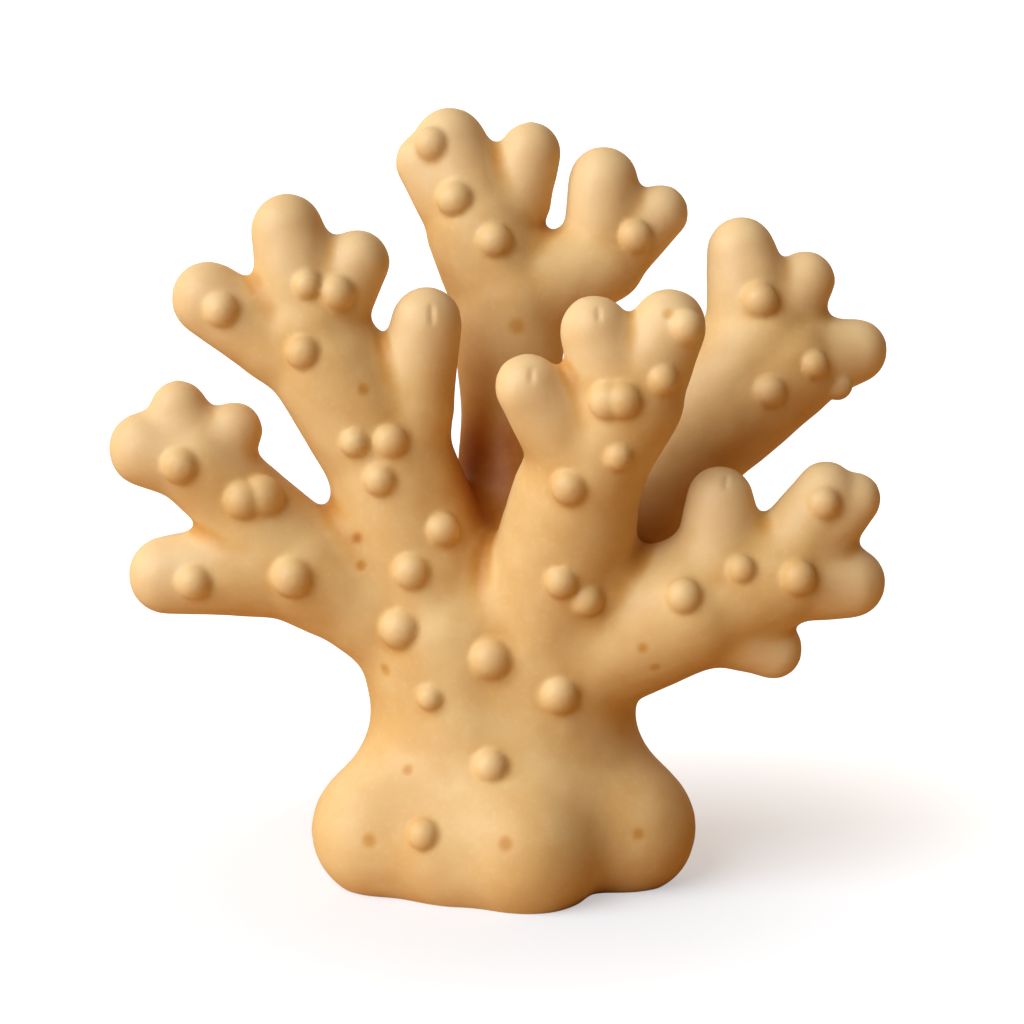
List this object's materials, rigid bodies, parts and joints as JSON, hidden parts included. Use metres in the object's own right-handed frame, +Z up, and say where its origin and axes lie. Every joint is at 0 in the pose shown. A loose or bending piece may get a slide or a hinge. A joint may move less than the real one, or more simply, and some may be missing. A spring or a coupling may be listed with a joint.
{
  "type": "antler coral",
  "caption": "Branching antler coral colony with rounded fingers and round knobs, cut flat under its lobed foot so that it stands as a display piece.",
  "frame": {"origin": "on the flat underside of the foot, below the trunk", "axes": "+Z up the trunk, the fan of branches spread along X, the front of the colony facing -Y"},
  "size_m": [0.1954, 0.0874, 0.1916],
  "materials": {
    "coral": "smooth satin coral skeleton, warm tan, paler at the tips and knobs and brown in the crevices"
  },
  "bodies": {
    "root": {"trunk": "coral", "left_low_branch": "coral", "left_high_branch": "coral", "front_branch": "coral", "back_branch": "coral", "right_high_branch": "coral", "right_low_branch": "coral"}
  },
  "joints": []
}
